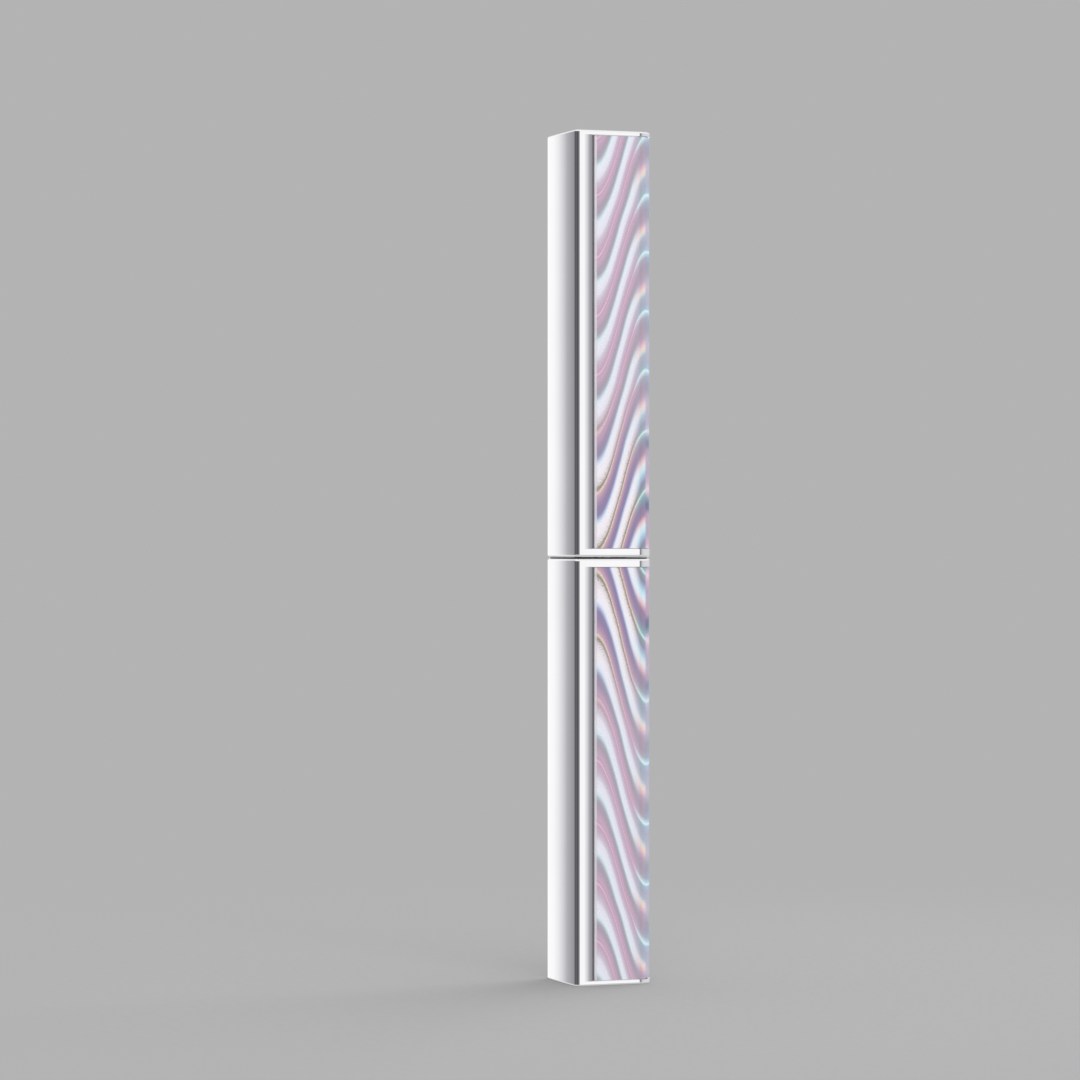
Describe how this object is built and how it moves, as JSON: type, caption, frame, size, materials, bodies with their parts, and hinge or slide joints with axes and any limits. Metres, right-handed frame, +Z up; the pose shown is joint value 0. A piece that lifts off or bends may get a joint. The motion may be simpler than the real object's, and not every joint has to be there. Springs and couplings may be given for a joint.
{
  "type": "lipstick case",
  "caption": "Slim square lipstick case with a pull-off cap, chrome spine, wavy holographic panels, and a twist-up bullet in a slant-mouthed tube.",
  "frame": {"origin": "middle of the underside of the base", "axes": "+Z up along the case; +Y towards the chrome spine; the panels face -X, -Y and +X; the tube's mouth is low towards +X"},
  "size_m": [0.0104, 0.0104, 0.1054],
  "materials": {
    "bright_metal": "polished",
    "holographic_panel": "gloss",
    "weight_steel": "satin",
    "spring_steel": "satin",
    "white_moulding": "satin",
    "nut_moulding": "satin",
    "liner_moulding": "satin",
    "black_ring": "gloss",
    "dark_washer": "matte",
    "black_tape": "satin",
    "silicone": "satin",
    "label_paper": "matte",
    "lipstick": "satin"
  },
  "bodies": {
    "base": {"base_shell": "bright_metal", "base_panel": "holographic_panel", "base_panel_tape": "black_tape", "base_end_plate": "bright_metal", "shade_label": "label_paper", "base_weight": "weight_steel", "base_core": "white_moulding", "drive_nut": "nut_moulding", "retaining_ring": "spring_steel", "thrust_washer": "dark_washer"},
    "swivel": {"guide_barrel": "white_moulding", "friction_ring": "silicone", "collar": "bright_metal", "seal_ring": "black_ring", "tube": "bright_metal"},
    "carrier": {"push_rod": "white_moulding", "bullet_cup": "white_moulding", "bullet": "lipstick"},
    "cap": {"cap_shell": "bright_metal", "cap_panel": "holographic_panel", "cap_panel_tape": "black_tape", "cap_liner": "liner_moulding", "cap_top_plate": "bright_metal"}
  },
  "joints": [
    {"name": "twist", "type": "hinge", "parent": "base", "child": "swivel", "pos_m": [0, 0, 0], "axis": [0, 0, 1], "range_deg": [0, 1800]},
    {"name": "bullet_lift", "type": "slide", "parent": "swivel", "child": "carrier", "axis": [0, 0, 1], "range_m": [0, 0.0275]},
    {"name": "cap_pull", "type": "slide", "parent": "carrier", "child": "cap", "axis": [0, 0, 1], "range_m": [0, 0.06]}
  ],
  "couplings": [
    {"joint": "bullet_lift", "follows": "twist", "m_per_rad": 0.00087535}
  ]
}
